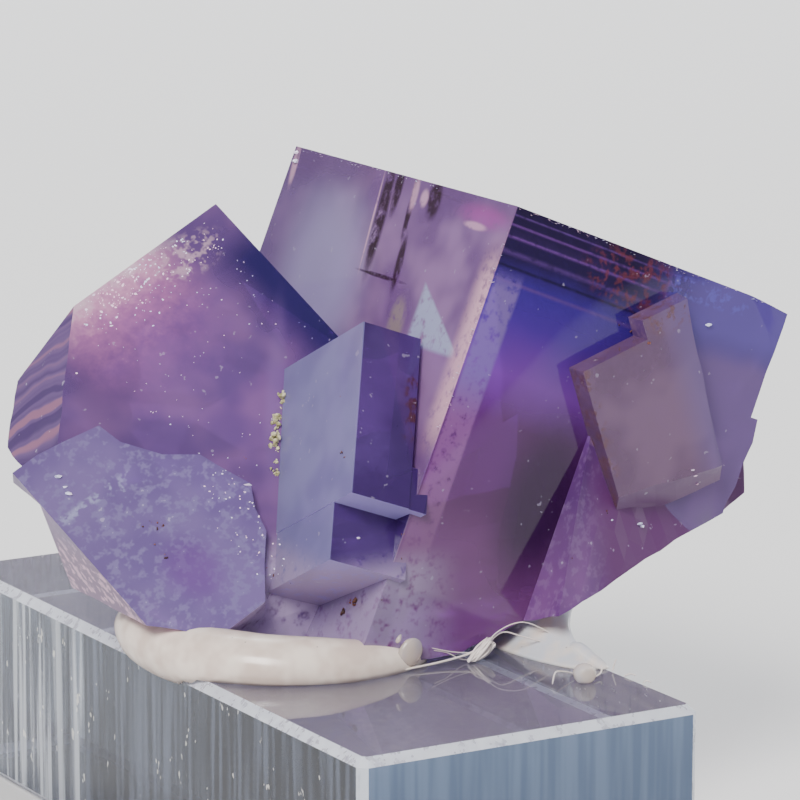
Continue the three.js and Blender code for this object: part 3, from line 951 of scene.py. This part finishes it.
def specks_piece():
    """The brown specks and the rust spot on the crystals."""
    shape = bmesh.new()
    chance = random.Random(9)
    for x, y, z, reach in BROWN_SPECKS:
        for _ in range(3 if reach > 0.1 else 2):
            place = Vector((x, y, z)) + Vector([chance.gauss(0, reach * 0.5) for _ in range(3)])
            scatter(shape, place, reach * chance.uniform(0.6, 1.0), chance, 0.5)
    look = Look("brown_specks")
    point = look.mapped()
    tone = look.mix(look.rise(look.grain(point, 2.0, 3.0), 0.4, 0.62), seen(62, 36, 30), seen(124, 72, 44))
    return new_piece("brown_specks", shape, look.finish(Base_Color=tone, Roughness=0.55), smooth=False)


# How many bright chips, mostly painted glints and sparkle, lie on each place
SPARKLE, GLINT_CORNER, LEFT_FACE, PATCH_EDGE, SIDE_EDGE, TOP_EDGE, FRONT_EDGE = 190, 40, 110, 60, 70, 60, 40

# The larger nicks, partly real chips and partly painted glints, each as x, y, z and its half breadth
NICKS = (
    (-14.48, 3.69, 23.04, 0.22), (-14.3, 3.2, 22.5, 0.16), (-14.26, 2.85, 22.18, 0.2), (-4.87, -1.78, 22.51, 0.16),
    (-2.23, -10.02, 20.72, 0.13), (19.41, -12.07, 22.63, 0.12), (19.63, -11.97, 22.23, 0.12),
    (20.18, -11.38, 21.56, 0.12), (21.4, -10.55, 30.9, 0.2), (7.4, 14.38, 38.5, 0.26), (7.45, 14.3, 38.1, 0.22),
    (7.6, 14.6, 38.95, 0.2), (14.01, -11.65, 20.16, 0.1), (16.35, -11.2, 19.43, 0.2), (16.2, -11.3, 19.6, 0.16),
)


def chips_and_glints_piece():
    """Bright chips: painted sparkle along the rosy edge, and white nicks on edges and faces, partly real chips and
    partly painted glints.
    """
    shape = bmesh.new()
    chance = random.Random(21)
    left, big = matrix_of(LEFT_CUBE), matrix_of(BIG_CUBE)

    def chip(place, reach, frame_matrix, flat=0.25):
        made = bmesh.ops.create_icosphere(shape, subdivisions=1, radius=reach * MM)
        turn = frame_matrix.to_3x3() @ Euler((0, 0, chance.uniform(0, math.tau))).to_matrix()
        for vert in made["verts"]:
            ragged = Vector([c * chance.uniform(0.5, 1.3) for c in vert.co])
            vert.co = turn @ Vector((ragged.x * chance.uniform(1.0, 1.8), ragged.y, ragged.z * flat))
            vert.co += Vector(place) * MM

    for _ in range(SPARKLE):
        a = 0.12 + abs(chance.gauss(0.0, 1.5))
        b = chance.triangular(3.4, 10.6 + a, 9.0)
        chip(left @ Vector((a, b, 0.0)), 0.02 + 0.075 * chance.random() ** 3, left)
    for _ in range(GLINT_CORNER):
        place = left @ Vector((chance.uniform(0.4, 2.6), chance.uniform(1.2, 5.0), 0.0))
        chip(place, chance.uniform(0.02, 0.06), left)
    for _ in range(LEFT_FACE):
        a, b = chance.uniform(1.0, 15.0), chance.uniform(1.0, 12.0)
        chip(left @ Vector((a, b, 0.0)), chance.uniform(0.015, 0.035), left)
    for _ in range(PATCH_EDGE):
        a, b = chance.uniform(14.0, 21.5), chance.uniform(10.8, 13.5)
        chip(left @ Vector((a, b + 0.08 * (a - 14), -PATCH_PROUD)), chance.uniform(0.02, 0.06), left)
    for _ in range(SIDE_EDGE):
        place = big @ Vector((0.05, chance.uniform(8.0, 25.4), chance.uniform(-0.25, -0.02)))
        chip(place, chance.uniform(0.03, 0.1), big)
    for _ in range(TOP_EDGE):
        place = big @ Vector((chance.uniform(0.2, 20.0), 0.02, chance.uniform(-0.2, -0.02)))
        chip(place, chance.uniform(0.03, 0.09), big)
    for _ in range(FRONT_EDGE):
        place = big @ Vector((chance.gauss(0.03, 0.08), 0.03, chance.uniform(-14.0, -1.0)))
        chip(place, chance.uniform(0.03, 0.08), big)
    for x, y, z, reach in NICKS:
        chip((x, y, z), reach, Matrix.Identity(4), 0.6)
    look = Look("chips_and_glints")
    point = look.mapped()
    tone = look.mix(look.rise(look.grain(point, 0.4), 0.4, 0.6), seen(246, 206, 232), seen(212, 216, 246))
    material = look.finish(Base_Color=tone, Roughness=0.25, Normal=look.bump(look.grain(point, 6.0), 0.5, 0.05))
    return new_piece("chips_and_glints", shape, material, smooth=False)


class Cluster(bpy.types.PropertyGroup):
    """What can be set before the pieces are built."""

    edge_wear: bpy.props.FloatProperty(
        name="Edge wear", description="Breadth of the worn strip along the crystals' edges", default=0.09 * MM,
        min=0.01 * MM, max=0.4 * MM, subtype="DISTANCE", unit="LENGTH")


class Stage(bpy.types.PropertyGroup):
    """The light and the floor."""

    key_power: bpy.props.FloatProperty(
        name="Key light", description="Power of the main soft light", default=14.0, min=0.0, unit="POWER")
    world_light: bpy.props.FloatProperty(
        name="Surroundings", description="Brightness of the plain surroundings", default=0.5, min=0.0)


class FLUORITE_OT_crystals(bpy.types.Operator):
    """Build the grown-together crystals"""

    bl_idname = "fluorite.crystals"
    bl_label = "Build Crystals"

    def execute(self, context):
        crystals_piece(context.scene.fluorite_cluster)
        return {"FINISHED"}


class FLUORITE_OT_block(bpy.types.Operator):
    """Build the clear block"""

    bl_idname = "fluorite.block"
    bl_label = "Build Block"

    def execute(self, context):
        block_piece()
        return {"FINISHED"}


class FLUORITE_OT_marks(bpy.types.Operator):
    """Build the grains, the brown specks and the bright chips, partly nicks and partly painted glints"""

    bl_idname = "fluorite.marks"
    bl_label = "Build Marks"

    def execute(self, context):
        grains_piece()
        specks_piece()
        chips_and_glints_piece()
        return {"FINISHED"}


class FLUORITE_OT_glue(bpy.types.Operator):
    """Build the glue: the bead, the rear foot, the drop, the tab and the strings"""

    bl_idname = "fluorite.glue"
    bl_label = "Build Glue"

    def execute(self, context):
        bead_piece()
        foot_piece()
        drop_piece()
        tab_piece()
        strings_piece()
        return {"FINISHED"}


# Where the soft lights point, and each light with its place, size, share of the key's power and colour
LIT_POINT = (3, -4, 24)
LIGHTS = (
    ("key", (-510, -450, 690), (360, 360), 1.0, (1.0, 0.97, 0.94)),
    ("rim", (360, 900, 900), (460, 360), 1.8, (0.95, 0.97, 1.0)),
    ("fill", (820, 60, 300), (480, 480), 0.35, (0.96, 0.97, 1.0)),
)
SURROUNDINGS = (0.82, 0.84, 0.88, 1.0)

# Half the floor's side in metres, and how far it lies under the block in millimetres
FLOOR_REACH, FLOOR_DROP = 4.0, 0.02

# The photograph's view: the camera's place, the way it looks, its lens and the width of its frame
CAMERA_PLACE = Vector((-126.744, -226.902, 80.925))
CAMERA_AHEAD = Vector((0.4955, 0.8443, -0.2042))
CAMERA_LENS, CAMERA_FRAME = 202.5, 36.0


def aimed(thing, place, target):
    """Puts a light or the camera at its place, looking at the target."""
    thing.location = Vector(place) * MM
    thing.rotation_mode = "QUATERNION"
    thing.rotation_quaternion = (Vector(target) - Vector(place)).to_track_quat("-Z", "Y")


def soft_light(name, place, size, power, colour):
    data = bpy.data.lights.new(name, "AREA")
    data.shape = "RECTANGLE"
    data.size, data.size_y = size[0] * MM, size[1] * MM
    data.energy = power
    data.color = colour
    light = bpy.data.objects.new(name, data)
    bpy.context.scene.collection.objects.link(light)
    aimed(light, place, LIT_POINT)


class FLUORITE_OT_stage(bpy.types.Operator):
    """Set the floor, the soft lights and the camera"""

    bl_idname = "fluorite.stage"
    bl_label = "Set Stage"

    def execute(self, context):
        settings = context.scene.fluorite_stage
        shape = bmesh.new()
        bmesh.ops.create_grid(shape, x_segments=1, y_segments=1, size=FLOOR_REACH)
        mesh = bpy.data.meshes.new("floor")
        shape.to_mesh(mesh)
        shape.free()
        floor = bpy.data.objects.new("floor", mesh)
        floor.location.z = -FLOOR_DROP * MM
        context.scene.collection.objects.link(floor)
        mesh.materials.append(Look("pale_floor").finish(Base_Color=seen(202, 201, 200), Roughness=0.8))

        for name, place, size, share, colour in LIGHTS:
            soft_light(name, place, size, settings.key_power * share, colour)

        world = bpy.data.worlds.new("surroundings")
        context.scene.world = world
        world.use_nodes = True
        sky = world.node_tree.nodes["Background"]
        sky.inputs["Color"].default_value = SURROUNDINGS
        sky.inputs["Strength"].default_value = settings.world_light

        data = bpy.data.cameras.new("photograph")
        data.lens = CAMERA_LENS
        data.sensor_width = CAMERA_FRAME
        data.clip_start, data.clip_end = 0.01, 20.0
        camera = bpy.data.objects.new("photograph", data)
        context.scene.collection.objects.link(camera)
        aimed(camera, CAMERA_PLACE, CAMERA_PLACE + CAMERA_AHEAD)
        context.scene.camera = camera
        return {"FINISHED"}


class FLUORITE_PT_panel(bpy.types.Panel):
    """The cluster's steps, in the sidebar"""

    bl_idname = "FLUORITE_PT_panel"
    bl_label = "Fluorite Cluster"
    bl_space_type = "VIEW_3D"
    bl_region_type = "UI"
    bl_category = "Fluorite"

    def draw(self, context):
        column = self.layout.column(align=True)
        column.prop(context.scene.fluorite_cluster, "edge_wear")
        for kind in PIECES:
            column.operator(kind.bl_idname)
        column.separator()
        column.prop(context.scene.fluorite_stage, "key_power")
        column.prop(context.scene.fluorite_stage, "world_light")
        column.operator(FLUORITE_OT_stage.bl_idname)


PIECES = (FLUORITE_OT_crystals, FLUORITE_OT_marks, FLUORITE_OT_block, FLUORITE_OT_glue)
CLASSES = (Cluster, Stage, *PIECES, FLUORITE_OT_stage, FLUORITE_PT_panel)


def register():
    for one in CLASSES:
        bpy.utils.register_class(one)
    bpy.types.Scene.fluorite_cluster = bpy.props.PointerProperty(type=Cluster)
    bpy.types.Scene.fluorite_stage = bpy.props.PointerProperty(type=Stage)


def unregister():
    del bpy.types.Scene.fluorite_cluster
    del bpy.types.Scene.fluorite_stage
    for one in reversed(CLASSES):
        bpy.utils.unregister_class(one)


def main():
    register()
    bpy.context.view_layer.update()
    for step in (*PIECES, FLUORITE_OT_stage):
        group, name = step.bl_idname.split(".")
        getattr(getattr(bpy.ops, group), name)()
    bpy.context.view_layer.update()


if __name__ == "__main__":
    main()
